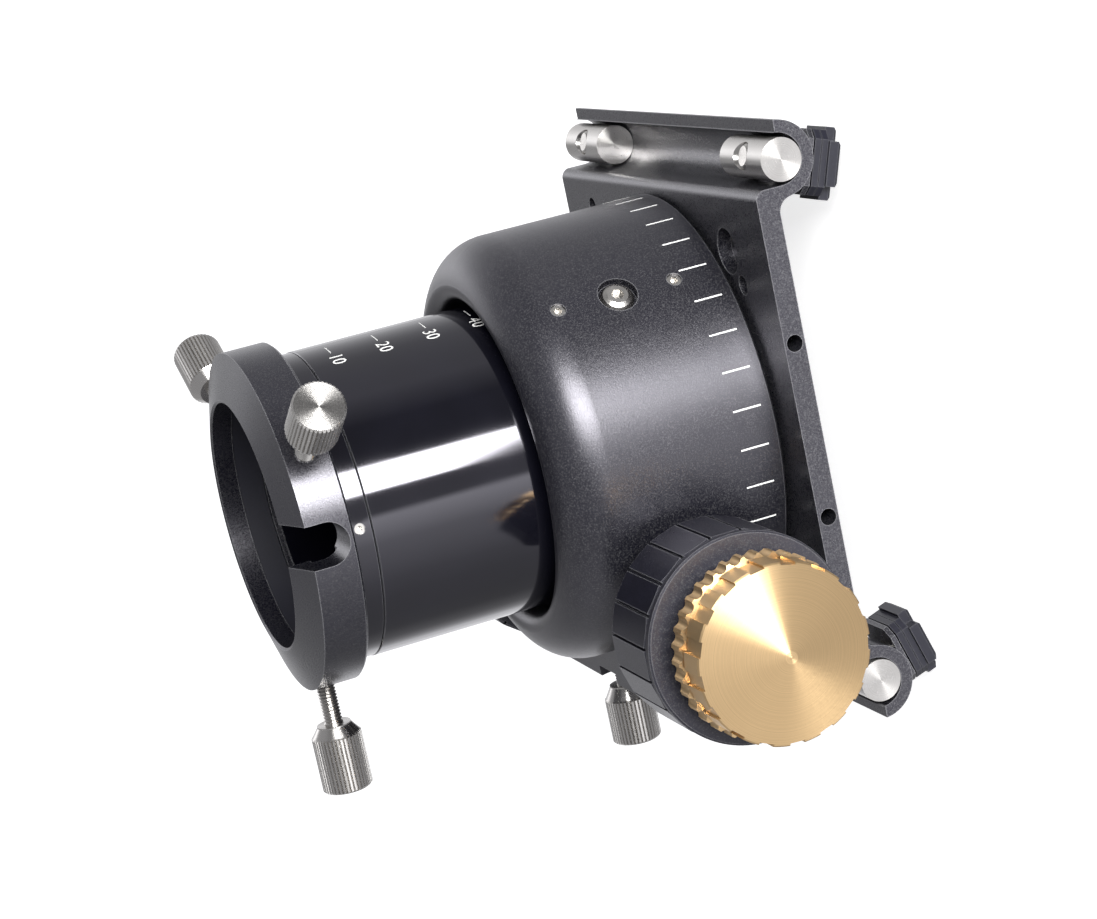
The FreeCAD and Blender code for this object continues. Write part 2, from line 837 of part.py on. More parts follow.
heads = []
for azimuth in (-45, 45):
    screw = turned(
        "carriage_screw",
        [
            ("0", "-8.6"),
            ("m4_r -0.01", "-8.6"),
            ("m4_r -0.01", "-1.95"),
            ("3.4", "-1.95"),
            ("3.4", "-1.1"),
            ("2.9", "-0.45"),
            ("2.1", "0"),
            ("0", "0"),
        ],
    )
    socket = sketch_on(screw, "XY_Plane", "hex_socket")
    sixth = []
    for k in range(6):
        angle = math.radians(60 * k)
        sixth.append((1.35 * math.cos(angle), 1.35 * math.sin(angle)))
    trace(socket, [("%.4f" % a, "%.4f" % b if abs(b) > 1e-6 else "0") for a, b in sixth])
    pocket(screw, socket, "1.3")
    base, radial = outward(azimuth, value("housing_r") - 0.05, value("axle_z"))
    heads.append(aim(screw, base, radial))
keep(group("carriage_screws", heads), "carriage_screws")

small = []
for azimuth in (-45, 45):
    for height in (15.35, 40.2):
        screw = set_screw("carriage_set", "m3_r", "3.4", "0.85")
        base, radial = outward(azimuth, value("housing_r") - 0.4, height)
        small.append(aim(screw, base, radial))
keep(group("carriage_set_screws", small), "carriage_set_screws")

# ---------------------------------------------------------------- drive train


def on_drive_axis(thing, towards_knob=True):
    """Local Z becomes the distance from the optical axis along the axle."""
    degrees = 90 if towards_knob else -90
    base = Vector(-value("axle_x"), 0, value("axle_z"))
    thing.Placement = Placement(base, Rotation(Vector(1, 0, 0), degrees))
    return thing


axle = turned(
    "drive_axle",
    [
        ("0", "-60.0"),
        ("axle_r", "-60.0"),
        ("axle_r", "80.0"),
        ("0", "80.0"),
    ],
)
keep(on_drive_axis(axle), "drive_axle")


def facet_ring(body, low, high):
    """Twenty flats round a knob, with a thin groove between each two."""
    length = high + " -" + low
    flat = sketch_on(body, "XY_Plane", "flat", high)
    trace(
        flat,
        [
            ("coarse_flat", "-4.5"),
            ("coarse_r 1", "-4.5"),
            ("coarse_r 1", "4.5"),
            ("coarse_flat", "4.5"),
        ],
    )
    flats = pocket(body, flat, length)
    slit = sketch_on(body, "XY_Plane", "slit", high)
    trace(
        slit,
        [
            ("coarse_r -0.95", "-0.32"),
            ("coarse_r 1", "-0.32"),
            ("coarse_r 1", "0.32"),
            ("coarse_r -0.95", "0.32"),
        ],
    )
    slit.AttachmentOffset = Placement(Vector(0, 0, 0), Rotation(Vector(0, 0, 1), 9))
    slit.setExpression("AttachmentOffset.Base.z", formula(high))
    slits = pocket(body, slit, length)
    repeat(body, [flats, slits], 20)


near_knob = turned(
    "coarse_knob_near",
    [
        ("axle_r", "ear_outer_y 0.8"),
        ("9.0", "ear_outer_y 0.8"),
        ("9.0", "coarse_near 1.5"),
        ("17.5", "coarse_near 1.5"),
        ("18.0", "coarse_near"),
        ("coarse_r -0.6", "coarse_near"),
        ("coarse_r", "coarse_near 0.6"),
        ("coarse_r", "coarse_far -0.6"),
        ("coarse_r -0.6", "coarse_far"),
        ("axle_r", "coarse_far"),
    ],
)
facet_ring(near_knob, "coarse_near", "coarse_far")
keep(on_drive_axis(near_knob), "coarse_knob_near")

far_knob = turned(
    "coarse_knob_far",
    [
        ("axle_r", "ear_outer_y 0.8"),
        ("9.0", "ear_outer_y 0.8"),
        ("9.0", "coarse_near 1.5"),
        ("17.5", "coarse_near 1.5"),
        ("18.0", "coarse_near"),
        ("coarse_r -0.6", "coarse_near"),
        ("coarse_r", "coarse_near 0.6"),
        ("coarse_r", "coarse_far -0.6"),
        ("coarse_r -0.6", "coarse_far"),
        ("15.6", "coarse_far"),
        ("15.2", "coarse_far -0.5"),
        ("0", "coarse_far -0.5"),
        ("0", "60.1"),
        ("axle_r", "60.1"),
    ],
)
facet_ring(far_knob, "coarse_near", "coarse_far")
keep(on_drive_axis(far_knob, towards_knob=False), "coarse_knob_far")

reducer = turned(
    "reducer_disc",
    [
        ("axle_r", "coarse_far"),
        ("disc_r -0.4", "coarse_far"),
        ("disc_r", "coarse_far 0.4"),
        ("disc_r", "disc_far -0.4"),
        ("disc_r -0.4", "disc_far"),
        ("reducer_hub_r", "disc_far"),
        ("reducer_hub_r", "reducer_hub_far"),
        ("axle_r", "reducer_hub_far"),
    ],
)
keep(on_drive_axis(reducer), "reducer_disc")

fine = turned(
    "fine_knob",
    [
        ("axle_r 0.05", "fine_near"),
        ("fine_teeth_r -0.5", "fine_near"),
        ("fine_teeth_r", "fine_near 0.5"),
        ("fine_teeth_r", "fine_step -0.8"),
        ("fine_r -1.1", "fine_step -0.5"),
        ("fine_r -1.1", "fine_step"),
        ("fine_r", "fine_step 0.1"),
        ("fine_r", "fine_rim -0.3"),
        ("fine_r -0.3", "fine_rim"),
        ("1.2", "fine_apex"),
        ("0", "fine_apex 0.05"),
        ("0", "80.6"),
        ("axle_r 0.05", "80.6"),
    ],
)
scoop = sketch_on(fine, "XY_Plane", "grip_scoop", "fine_near")
ring(scoop, "fine_teeth_r 0.45", "0", "1.3")
gap = pocket(fine, scoop, "fine_step -fine_near -0.3", reverse=True)
repeat(fine, [gap], 36)
notches = sketch_on(fine, "XY_Plane", "rim_notch", "fine_step 0.02")
trace(
    notches,
    [
        ("fine_r -0.6", "-1.5"),
        ("fine_r 1", "-1.5"),
        ("fine_r 1", "1.5"),
        ("fine_r -0.6", "1.5"),
    ],
)
notches.AttachmentOffset = Placement(Vector(0, 0, 0), Rotation(Vector(0, 0, 1), 7.5))
notches.setExpression("AttachmentOffset.Base.z", formula("fine_step 0.02"))
rim_notch = pocket(fine, notches, "fine_apex -fine_step", reverse=True)
repeat(fine, [rim_notch], 17)
keep(on_drive_axis(fine), "fine_knob")

# ---------------------------------------------------------------- drawtube

tube = turned(
    "drawtube",
    [
        ("tube_bore_r", "tube_rear_z"),
        ("tube_r -0.5", "tube_rear_z"),
        ("tube_r", "tube_rear_z 0.5"),
        ("tube_r", "tube_front_z -0.15"),
        ("tube_r -0.15", "tube_front_z"),
        ("tube_counterbore_r", "tube_front_z"),
        ("tube_counterbore_r", "tube_counterbore_z"),
        ("tube_bore_r", "tube_counterbore_z"),
    ],
)
flat = sketch_on(tube, "XZ_Plane", "track_flat")
trace(
    flat,
    [
        ("-tube_r -1", "tube_rear_z -1"),
        ("-tube_flat_x", "tube_rear_z -1"),
        ("-tube_flat_x", "tube_flat_end_z"),
        ("-tube_r -1", "tube_flat_end_z"),
    ],
)
pocket(tube, flat, "30", midplane=True)
track_slot = sketch_on(tube, "XZ_Plane", "track_slot")
trace(
    track_slot,
    [
        ("-tube_flat_x -1", "track_low_z -0.1"),
        ("-track_slot_x", "track_low_z -0.1"),
        ("-track_slot_x", "track_high_z 0.1"),
        ("-tube_flat_x -1", "track_high_z 0.1"),
    ],
)
pocket(tube, track_slot, "track_half_y track_half_y 0.1", midplane=True)
for height in ("track_low_z 4", "track_high_z -4"):
    radial_hole(tube, "track_screw_hole", 180, "tube_bore_r -1", height, "1.0", "5")
keep(tube, "drawtube")

strip = box(
    "track_strip",
    ("-track_face_x", "-track_half_y", "track_low_z"),
    ("-track_slot_x", "track_half_y", "track_high_z"),
)
tools = []
for number, height in enumerate(("track_low_z 4", "track_high_z -4")):
    tools.append(rod("track_seat_%d" % number, "x", "1.9", ("-track_face_x -1", "0", height), "1.55"))
    tools.append(rod("track_hole_%d" % number, "x", "1.0", ("-track_face_x -1", "0", height), "4"))
keep(cut("steel_track", strip, tools), "steel_track")

track_screws = []
for number, height in enumerate(("track_low_z 4", "track_high_z -4")):
    screw = socket_screw("track_screw_%d" % number, "1.85", "0.5", "0.98", "2.2", "0.6")
    base = (-value("track_face_x") + 0.05, 0, value(height))
    track_screws.append(aim(screw, base, (-1, 0, 0)))
keep(group("track_screws", track_screws), "track_screws")

# ---------------------------------------------------------------- band and eyepiece clamp

band = turned(
    "adapter_band",
    [
        ("eyepiece_bore_r", "tube_counterbore_z 0.1"),
        ("tube_counterbore_r -0.02", "tube_counterbore_z 0.1"),
        ("tube_counterbore_r -0.02", "band_low_z"),
        ("band_r -0.25", "band_low_z"),
        ("band_r", "band_low_z 0.25"),
        ("band_r", "clamp_low_z"),
        ("spigot_r -0.03", "clamp_low_z"),
        ("spigot_r -0.03", "clamp_low_z 0.9"),
        ("eyepiece_bore_r", "clamp_low_z 0.9"),
    ],
)
for azimuth in (-89, 31, 151):
    radial_hole(band, "band_hole", azimuth, "29.4", "88.5", "1.1", "4")
keep(band, "adapter_band")

band_screws = []
for azimuth in (-89, 31, 151):
    screw = set_screw("band_screw", "1.08", "1.9", "0.55")
    base, radial = outward(azimuth, 31.4, 88.5)
    band_screws.append(aim(screw, base, radial))
keep(group("band_screws", band_screws), "band_screws")

clamp = turned(
    "eyepiece_clamp",
    [
        ("spigot_r", "clamp_low_z"),
        ("clamp_r -0.5", "clamp_low_z"),
        ("clamp_r", "clamp_low_z 0.5"),
        ("clamp_r", "clamp_edge_z"),
        ("clamp_rim_r", "clamp_top_z"),
        ("eyepiece_bore_r", "clamp_top_z -0.3"),
        ("eyepiece_bore_r", "ring_high_z -0.2"),
        ("ring_groove_r", "ring_high_z -0.2"),
        ("ring_groove_r", "ring_low_z 0.2"),
        ("eyepiece_bore_r", "ring_low_z 0.2"),
        ("eyepiece_bore_r", "clamp_low_z 1.0"),
        ("spigot_r", "clamp_low_z 1.0"),
    ],
)
notch_floor = "clamp_low_z 1.1 notch_half"
notch = sketch_on(clamp, "XZ_Plane", "notch")
trace(
    notch,
    [
        ("-notch_half", notch_floor),
        ("notch_half", notch_floor),
        ("notch_half", "clamp_top_z 1"),
        ("-notch_half", "clamp_top_z 1"),
    ],
)
pocket(clamp, notch, "clamp_r 5", reverse=True)
notch_end = sketch_on(clamp, "XZ_Plane", "notch_end")
ring(notch_end, "0", notch_floor, "notch_half")
pocket(clamp, notch_end, "clamp_r 5", reverse=True)
for azimuth in (-60, 60, 180):
    start = "eyepiece_bore_r -1"
    radial_hole(clamp, "thumb_hole", azimuth, start, "eyepiece_screw_z", "m4_hole_r", "15")
keep(clamp, "eyepiece_clamp")

split_ring = turned(
    "compression_ring",
    [
        ("25.75", "ring_low_z 0.35"),
        ("27.0", "ring_low_z 0.35"),
        ("27.0", "ring_high_z -0.35"),
        ("25.75", "ring_high_z -0.35"),
    ],
)
split = sketch_on(split_ring, "XZ_Plane", "split")
trace(
    split,
    [
        ("-5.0", "ring_low_z -1"),
        ("5.0", "ring_low_z -1"),
        ("5.0", "ring_high_z 1"),
        ("-5.0", "ring_high_z 1"),
    ],
)
pocket(split_ring, split, "40", reverse=True)
keep(split_ring, "compression_ring")

# ---------------------------------------------------------------- clamp rods and screws


def lean(thing, side, along):
    """Put a part made about a rod's middle in its trough, leaning to the plate's middle."""
    base = Vector(side * value("rod_x"), along * value("screw_slot_y"), value("rod_z"))
    thing.Placement = Placement(base, Rotation(Vector(0, 1, 0), side * value("rod_tilt")))
    return thing


def plate_with_hole(name, low, high):
    """A square plate round the screw, with its corners cut."""
    square = box(name + "_square", ("-6.4", "-6.4", low), ("6.4", "6.4", high))
    hole = rod(name + "_hole", "z", "clamp_screw_r 0.1", ("0", "0", low + " -1"), "4")
    return cut(name + "_plate", square, [hole])


def cut_corners(name, solid, height, size):
    """Chamfer the upright edges of a plate of that height."""
    doc.recompute()
    trimmed = doc.addObject("Part::Chamfer", name)
    trimmed.Base = solid
    trimmed.Edges = [
        (number, size, size)
        for number, edge in enumerate(solid.Shape.Edges, start=1)
        if isinstance(edge.Curve, Part.Line) and abs(edge.Length - height) < 1e-4
    ]
    doc.recompute()
    return trimmed


def grip_cross(name):
    """The four armed grip of a clamp knob, with its outer edges chamfered."""
    bars = [
        box(name + "_across", ("-7.1", "-4.4", "-13.8"), ("7.1", "4.4", "-11.2")),
        box(name + "_along", ("-4.4", "-7.1", "-13.8"), ("4.4", "7.1", "-11.2")),
    ]
    cross = fuse(name + "_bars", bars)
    eased = doc.addObject("Part::Chamfer", name)
    eased.Base = cross
    eased.Edges = [
        (number, 0.7, 0.7)
        for number, edge in enumerate(cross.Shape.Edges, start=1)
        if abs(edge.CenterOfMass.z + 13.8) < 1e-4
    ]
    doc.recompute()
    return eased


for side, side_name in ((1, "upper"), (-1, "lower")):
    for along, along_name in ((-1, "front"), (1, "back")):
        tail = "_%s_%s" % (side_name, along_name)
        half = "rod_length"
        barrel = rod("barrel" + tail, "y", "rod_r", ("0", "-10.0", "0"), half)
        cross = rod("cross" + tail, "z", "rod_hole_r", ("0", "0", "-6"), "12")
        sink = doc.addObject("Part::Cone", "sink" + tail)
        sink.Placement = Placement(Vector(0, 0, value("rod_r") - 1.6), Rotation())
        sink.setExpression("Radius1", formula("rod_hole_r -0.1"))
        sink.setExpression("Radius2", formula("rod_hole_r 0.9"))
        sink.Height = 1.7
        name = "barrel_rod" + tail
        keep(lean(cut(name, barrel, [cross, sink]), side, along), name)

        square = plate_with_hole("washer" + tail, "-8.1", "-7.0")
        name = "clamp_washer" + tail
        keep(lean(cut_corners(name, square, 1.1, 1.8), side, along), name)

        name = "clamp_screw" + tail
        shank = turned(
            name,
            [
                ("0", "-13.0"),
                ("clamp_screw_r", "-13.0"),
                ("clamp_screw_r", "3.2"),
                ("clamp_screw_r -0.5", "3.7"),
                ("0", "3.7"),
            ],
        )
        keep(lean(shank, side, along), name)

        name = "clamp_knob" + tail
        plates = []
        for level, (low, high) in enumerate((("-9.8", "-8.4"), ("-11.3", "-9.9"))):
            layer = box("%s_layer_%d" % (name, level), ("-6.4", "-6.4", low), ("6.4", "6.4", high))
            plates.append(cut_corners("%s_plate_%d" % (name, level), layer, 1.4, 1.8))
        neck = rod(name + "_neck", "z", "5.9", ("0", "0", "-10.0"), "0.3")
        whole = fuse(name + "_whole", plates + [neck, grip_cross(name + "_cross")])
        hole = rod(name + "_hole", "z", "clamp_screw_r", ("0", "0", "-13.0"), "6")
        keep(lean(cut(name, whole, [hole]), side, along), name)

# ---------------------------------------------------------------- check and write

doc.recompute()
for thing in doc.Objects:
    state = list(thing.State)
    if "Invalid" in state or "Error" in state:
        raise ValueError("%s is %s" % (thing.Name, state))
for node in nodes:
    shape = node.Shape
    if shape.isNull() or not shape.isValid() or not shape.Solids:
        raise ValueError("%s has no sound shape" % node.Label)
    shape.exportStep("parts/%s.step" % node.Label)
    print("%-26s %2d solids %10.1f mm3" % (node.Label, len(shape.Solids), shape.Volume))
print("%d sub-parts" % len(nodes))
sys.stdout.flush()
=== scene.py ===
import math

import bpy
from mathutils import Matrix, Vector


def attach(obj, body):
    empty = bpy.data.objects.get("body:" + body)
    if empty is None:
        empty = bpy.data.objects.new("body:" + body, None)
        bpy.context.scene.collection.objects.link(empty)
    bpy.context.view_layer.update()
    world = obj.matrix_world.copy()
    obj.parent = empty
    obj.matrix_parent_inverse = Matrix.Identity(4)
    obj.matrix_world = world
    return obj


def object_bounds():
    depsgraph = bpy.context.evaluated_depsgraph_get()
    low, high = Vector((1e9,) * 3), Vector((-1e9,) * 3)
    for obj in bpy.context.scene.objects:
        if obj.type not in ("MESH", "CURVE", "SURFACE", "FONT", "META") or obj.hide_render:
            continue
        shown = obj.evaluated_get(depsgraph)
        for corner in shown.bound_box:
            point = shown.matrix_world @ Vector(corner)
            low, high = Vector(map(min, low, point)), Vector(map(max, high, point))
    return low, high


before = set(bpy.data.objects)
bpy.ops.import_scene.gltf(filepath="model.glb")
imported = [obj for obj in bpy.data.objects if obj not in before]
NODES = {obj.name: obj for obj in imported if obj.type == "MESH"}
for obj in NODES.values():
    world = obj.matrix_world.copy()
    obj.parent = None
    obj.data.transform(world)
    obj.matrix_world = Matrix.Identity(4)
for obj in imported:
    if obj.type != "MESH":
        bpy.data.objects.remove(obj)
cad_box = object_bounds()

# ---------------------------------------------------------------- where things are
# Metres. The optical axis is +Z, the tube clamps open toward -Z.
MM = 0.001
ALONG_X = (1, 0, 0)
ALONG_Y = (0, 1, 0)
AXLE = (-32.8 * MM, 0, 27.5 * MM)  # a point of the focusing axle, which runs along Y
TUBE_R = 31.85 * MM
HOUSING_R = 45.0 * MM
ROD_X = 52.62 * MM  # the barrel rods run along Y, one pair on either side
ROD_Z = -2.21 * MM
EYEPIECE_SCREW_Z = 95.3 * MM
EYEPIECE_SCREWS = (("front", -60), ("upper", 60), ("lower", 180))  # name, azimuth in degrees
LOCK_SCREW_Z = 32 * MM
CLAMPS = ("upper_front", "upper_back", "lower_front", "lower_back")

# ---------------------------------------------------------------- engraved marks
PROUD = 0.02 * MM  # how far the marks stand off the surface
TURN_MARKS = 36
TURN_MARK_START = -12.94  # azimuth of the first mark, degrees
TURN_MARK_WIDTH = 0.35 * MM
TURN_MARK_LOW = 7.66 * MM
TURN_MARK_HIGH = 13.6 * MM
TICK_AZIMUTHS = (-12.9, -5.5)  # both ends of each tick, degrees
TICK_HALF_WIDTH = 0.1  # this and the heights below are in millimetres
TICK_HEIGHTS = (80.42, 70.5, 60.25, 50.5)
DIGIT_SIZE = 4.0 * MM
DIGIT_AZIMUTH = -19.1
DIGIT_SPACING = 1.08
NUMBERS = (("10", 80.25), ("20", 70.35), ("30", 60.4), ("40", 50.65))  # text, height

# ---------------------------------------------------------------- colours
WHITE = (1.0, 1.0, 1.0, 1.0)
STEEL = (0.56, 0.545, 0.525, 1.0)
SCREW_STEEL = (0.62, 0.60, 0.57, 1.0)
BEARING_STEEL = (0.60, 0.60, 0.60, 1.0)
BRASS = (0.70, 0.49, 0.26, 1.0)
COOL = 1.9  # the black finishes lean a little towards blue
TINT = (0.94, 0.92, 1.0, 1.0)

# ---------------------------------------------------------------- studio
FLOOR_HALF = 8.0
FLOOR_DROP = 0.5 * MM
FLOOR_GLOW = 0.74
SKY_TOP = 3.0  # the brightest radiance a wall may have
CEILING = 0.40  # radiance of ceiling and ground
# Where the walls change, by the sine of the elevation.
LOW_TO_HIGH = (-0.1, 0.25)
WALL_TO_GROUND = (-0.42, -0.58)
WALL_TO_CEILING = (0.52, 0.72)
# Radiance of the studio walls by azimuth in degrees, below and above the object's level.
LOW_WALLS = (
    (-180, 0.35), (-160, 0.45), (-145, 0.6), (-115, 1.2), (-97, 2.5), (-93, 0.5), (-60, 0.4),
    (-52, 0.14), (-28, 0.14), (-4, 0.55), (37, 0.5), (50, 0.6), (75, 1.0), (100, 0.9),
    (133, 1.4), (141, 0.8), (150, 0.45), (165, 0.3), (180, 0.35),
)
HIGH_WALLS = (
    (-180, 0.6), (-120, 0.4), (-60, 0.25), (0, 0.25), (45, 0.6), (62, 1.0), (75, 2.4),
    (84, 1.6), (92, 0.4), (150, 0.45), (180, 0.6),
)
STRIP = {"azimuth": -65.0, "elevation": 5.5, "distance": 1.1, "length": 0.86, "width": 0.36}
STRIP_RADIANCE = 29.0
STRIP_LEAN = -11  # degrees
AIM = Vector((-0.0034, 0.0, 0.0385))
CAMERA_AZIMUTH = -77.51
CAMERA_ELEVATION = 17.04
CAMERA_ROLL = -105.76
CAMERA_DISTANCE = 0.615
CAMERA_LENS = 97.4
CAMERA_SENSOR = 36.0


def around_z(azimuth_deg, radius, z):
    a = math.radians(azimuth_deg)
    return Vector((radius * math.cos(a), radius * math.sin(a), z))


# ---------------------------------------------------------------- node helpers
class Graph:
    """A material's node tree, with short calls for the nodes used here."""

    def __init__(self, name, world=False):
        self.owner = (bpy.data.worlds if world else bpy.data.materials).new(name)
        self.owner.use_nodes = True
        self.tree = self.owner.node_tree
        self.bsdf = self.tree.nodes.get("Principled BSDF")

    def add(self, kind, **values):
        node = self.tree.nodes.new(kind)
        for key, value in values.items():
            setattr(node, key, value)
        return node

    def link(self, source, target):
        self.tree.links.new(source, target)

    def feed(self, value, socket):
        if isinstance(value, bpy.types.NodeSocket):
            self.link(value, socket)
        else:
            socket.default_value = value

    def place(self):
        return self.add("ShaderNodeTexCoord").outputs["Object"]

    def math(self, operation, a, b=0.0):
        node = self.add("ShaderNodeMath", operation=operation)
        self.feed(a, node.inputs[0])
        self.feed(b, node.inputs[1])
        return node.outputs[0]

    def vector(self, operation, a, b=(0, 0, 0)):
        node = self.add("ShaderNodeVectorMath", operation=operation)
        self.feed(a, node.inputs[0])
        if operation not in ("NORMALIZE", "LENGTH"):
            self.feed(b, node.inputs[1])
        gives_number = operation in ("DOT_PRODUCT", "LENGTH")
        return node.outputs["Value" if gives_number else "Vector"]

    def ramp(self, value, low, high, to_low=0.0, to_high=1.0):
        node = self.add("ShaderNodeMapRange")
        self.feed(value, node.inputs["Value"])
        node.inputs["From Min"].default_value = low
        node.inputs["From Max"].default_value = high
        node.inputs["To Min"].default_value = to_low
        node.inputs["To Max"].default_value = to_high
        return node.outputs[0]

    def mix(self, factor, a, b):
        """Colour a where factor is 0 and b where it is 1. Sockets 6 and 7 are the colour inputs."""
        node = self.add("ShaderNodeMix", data_type="RGBA")
        self.feed(factor, node.inputs[0])
        self.feed(a, node.inputs[6])
        self.feed(b, node.inputs[7])
        return node.outputs[2]

    def noise(self, size, detail=2.0, roughness=0.5):
        """Noise whose blobs are about size metres across."""
        node = self.add("ShaderNodeTexNoise")
        self.link(self.place(), node.inputs["Vector"])
        node.inputs["Scale"].default_value = 1.0 / size
        node.inputs["Detail"].default_value = detail
        node.inputs["Roughness"].default_value = roughness
        return node.outputs["Fac"]

    def lines(self, value, size):
        """Noise that changes along one value only, over about size metres."""
        node = self.add("ShaderNodeTexNoise", noise_dimensions="1D")
        self.link(value, node.inputs["W"])
        node.inputs["Scale"].default_value = 1.0 / size
        node.inputs["Detail"].default_value = 2.0
        return node.outputs["Fac"]

    def edges(self, width):
        """0 on flat faces and 1 along edges, over about width metres."""
        bevel = self.add("ShaderNodeBevel", samples=4)
        bevel.inputs["Radius"].default_value = width
        flat = self.add("ShaderNodeNewGeometry").outputs["Normal"]
        turn = self.vector("DOT_PRODUCT", bevel.outputs[0], flat)
        return self.ramp(turn, 1.0, 0.86)

    def uneven(self, value, level, spread, low=0.3, high=0.7):
        """A cool black that gets up to spread times lighter where value is high."""
        return self.mix(self.ramp(value, low, high), grey(level, COOL), grey(level * spread, COOL))

    def painted_edge_highlight(self, tone, width, share, level):
        """The tone, paler by a share along the edges: a painted highlight, as if the edges catch the
        light.
        """
        return self.mix(self.math("MULTIPLY", self.edges(width), share), tone, grey(level))

    def bump(self, height, distance, strength=1.0):
        node = self.add("ShaderNodeBump")
        self.feed(height, node.inputs["Height"])
        node.inputs["Distance"].default_value = distance
        node.inputs["Strength"].default_value = strength
        return node.outputs[0]

    def finish(self, **inputs):
        for name, value in inputs.items():
            self.feed(value, self.bsdf.inputs[name.replace("_", " ")])
        return self.owner


def grey(level, blue=1.04):
    return (level, level, level * blue, 1.0)


def darker(colour, share):
    return tuple(c * share for c in colour[:3]) + (1.0,)


# ---------------------------------------------------------------- materials
def blasted_black(name, level=0.003, roughness=0.34, depth=0.03 * MM, shine=1.75, speck=0.05):
    """Black anodised aluminium, bead blasted: a fine grain of pale specks and small hollows."""
    g = Graph(name)
    fine = g.noise(0.30 * MM, detail=3.0, roughness=0.75)
    broad = g.noise(9 * MM, detail=2.0)
    tone = g.uneven(broad, level, 1.35)
    tone = g.mix(g.ramp(fine, 0.50, 0.68), tone, grey(speck))
    # painted highlight: the tone is made paler along the edges
    tone = g.painted_edge_highlight(tone, 0.3 * MM, 0.5, 0.30)
    rough = g.ramp(fine, 0.3, 0.7, roughness - 0.06, roughness + 0.07)
    normal = g.bump(fine, depth, 1.0)
    return g.finish(Base_Color=tone, Roughness=rough, IOR=shine, Specular_Tint=TINT, Normal=normal)


def gloss_black(name, level=0.002, roughness=0.085):
    """Black anodised tube, turned and polished: crisp reflections with fine turning lines."""
    g = Graph(name)
    split = g.add("ShaderNodeSeparateXYZ")
    g.link(g.place(), split.inputs[0])
    lines = g.lines(split.outputs["Z"], 0.25 * MM)
    broad = g.noise(14 * MM, detail=3.0)
    rough = g.ramp(broad, 0.3, 0.7, roughness * 0.8, roughness * 1.3)
    tone = g.uneven(broad, level, 1.4, 0.35, 0.65)
    # painted highlight: the tone is made paler along the edges
    tone = g.painted_edge_highlight(tone, 0.25 * MM, 0.5, 0.25)
    normal = g.bump(lines, 0.0006 * MM, 0.6)
    return g.finish(Base_Color=tone, Roughness=rough, IOR=1.7, Specular_Tint=TINT, Normal=normal)


def matt_black(name, level=0.006):
    """Black paint inside the light path."""
    g = Graph(name)
    fine = g.noise(0.4 * MM, detail=3.0)
    tone = g.mix(fine, grey(level * 0.7, COOL), grey(level * 1.4, COOL))
    normal = g.bump(fine, 0.02 * MM, 0.7)
    return g.finish(Base_Color=tone, Roughness=0.72, IOR=1.45, Normal=normal)


def satin_black(name, level=0.005, roughness=0.32):
    """Black anodised knob: smooth facets, with a painted highlight that makes the edges bright."""
    g = Graph(name)
    fine = g.noise(0.35 * MM, detail=3.0, roughness=0.6)
    broad = g.noise(6 * MM, detail=2.0)
    tone = g.uneven(broad, level, 1.5)
    # painted highlight: the tone is made paler along the edges
    tone = g.painted_edge_highlight(tone, 0.3 * MM, 0.5, 0.30)
    rough = g.ramp(fine, 0.3, 0.7, roughness - 0.05, roughness + 0.06)
    normal = g.bump(fine, 0.010 * MM, 0.6)
    return g.finish(Base_Color=tone, Roughness=rough, IOR=1.65, Specular_Tint=TINT, Normal=normal)


def moulded_black(name, level=0.006):
    """Black moulded plastic of the small clamp knobs."""
    g = Graph(name)
    fine = g.noise(0.5 * MM, detail=2.0)
    tone = g.uneven(fine, level, 1.5)
    # painted highlight: the tone is made paler along the edges
    tone = g.painted_edge_highlight(tone, 0.4 * MM, 0.3, 0.15)
    normal = g.bump(fine, 0.012 * MM, 0.5)
    return g.finish(Base_Color=tone, Roughness=0.36, IOR=1.5, Normal=normal)


def turned_metal(name, axis, point, colour, roughness=0.26, anisotropic=0.8):
    """Metal turned on a lathe about the line through point along axis. Faces across the axis
    carry circular tool marks, so their highlights spread as wedges; the sides are brushed
    along the axis."""
    g = Graph(name)
    axis = tuple(Vector(axis).normalized())
    offset = g.vector("SUBTRACT", g.place(), tuple(point))
    along = g.vector("DOT_PRODUCT", offset, axis)
    lift = g.add("ShaderNodeVectorMath", operation="SCALE")
    lift.inputs[0].default_value = axis
    g.link(along, lift.inputs["Scale"])
    radial = g.vector("SUBTRACT", offset, lift.outputs["Vector"])
    radius = g.vector("LENGTH", radial)
    facing = g.vector("DOT_PRODUCT", g.add("ShaderNodeTexCoord").outputs["Normal"], axis)
    end_face = g.ramp(g.math("ABSOLUTE", facing), 0.7, 0.75)
    grain_way = g.add("ShaderNodeMix", data_type="VECTOR")
    g.link(end_face, grain_way.inputs[0])
    grain_way.inputs[4].default_value = axis
    g.link(g.vector("NORMALIZE", radial), grain_way.inputs[5])
    turn = g.add("ShaderNodeVectorTransform", vector_type="VECTOR")
    turn.convert_from = "OBJECT"
    turn.convert_to = "WORLD"
    g.link(grain_way.outputs[1], turn.inputs[0])
    rings = g.math("MULTIPLY", g.lines(radius, 0.2 * MM), end_face)
    fine = g.noise(0.3 * MM, detail=2.0)
    broad = g.noise(5 * MM, detail=2.0)
    dark = darker(colour, 0.88)
    tone = g.mix(g.ramp(rings, 0.35, 0.65), colour, dark)
    tone = g.mix(g.math("MULTIPLY", g.ramp(broad, 0.4, 0.75), 0.25), tone, dark)
    rough = g.ramp(fine, 0.3, 0.7, roughness - 0.03, roughness + 0.04)
    normal = g.bump(rings, 0.0005 * MM, 0.3)
    material = g.finish(Base_Color=tone, Metallic=1.0, Roughness=rough, Normal=normal)
    g.bsdf.inputs["Anisotropic"].default_value = anisotropic
    g.link(turn.outputs[0], g.bsdf.inputs["Tangent"])
    return material


